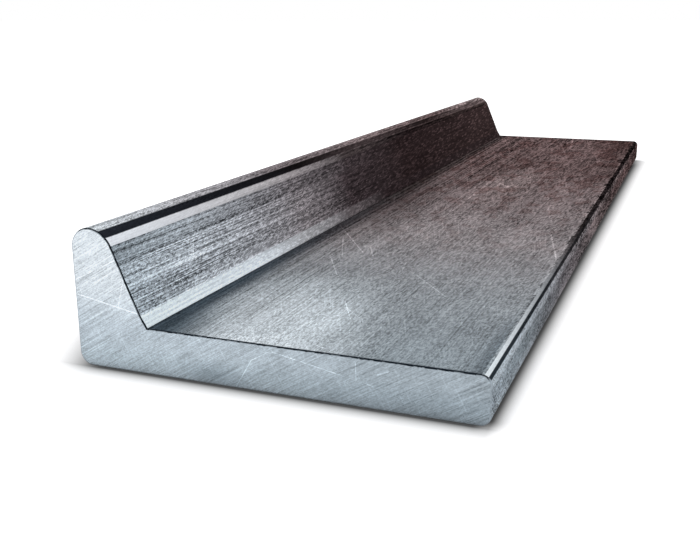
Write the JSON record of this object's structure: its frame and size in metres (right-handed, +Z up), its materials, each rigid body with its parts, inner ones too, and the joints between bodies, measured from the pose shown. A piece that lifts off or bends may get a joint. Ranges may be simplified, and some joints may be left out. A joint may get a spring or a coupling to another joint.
{
  "type": "bulb flat bar",
  "caption": "Short length of rolled steel bulb flat bar: a flat web with a raised bulb along one edge, sawn square at both ends.",
  "frame": {"origin": "middle of the flat underside, at half the bar's length and half its width", "axes": "+Y along the bar, +X from the bulb towards the plain weld edge, +Z up, away from the flat underside towards the bulb's crown"},
  "size_m": [0.06, 0.23, 0.0203],
  "materials": {
    "steel": "bare rolled steel, brushed lengthwise, with saw marks on the cut ends and a brown oxide tint"
  },
  "bodies": {
    "root": {"bulb_flat_bar": "steel"}
  },
  "joints": []
}
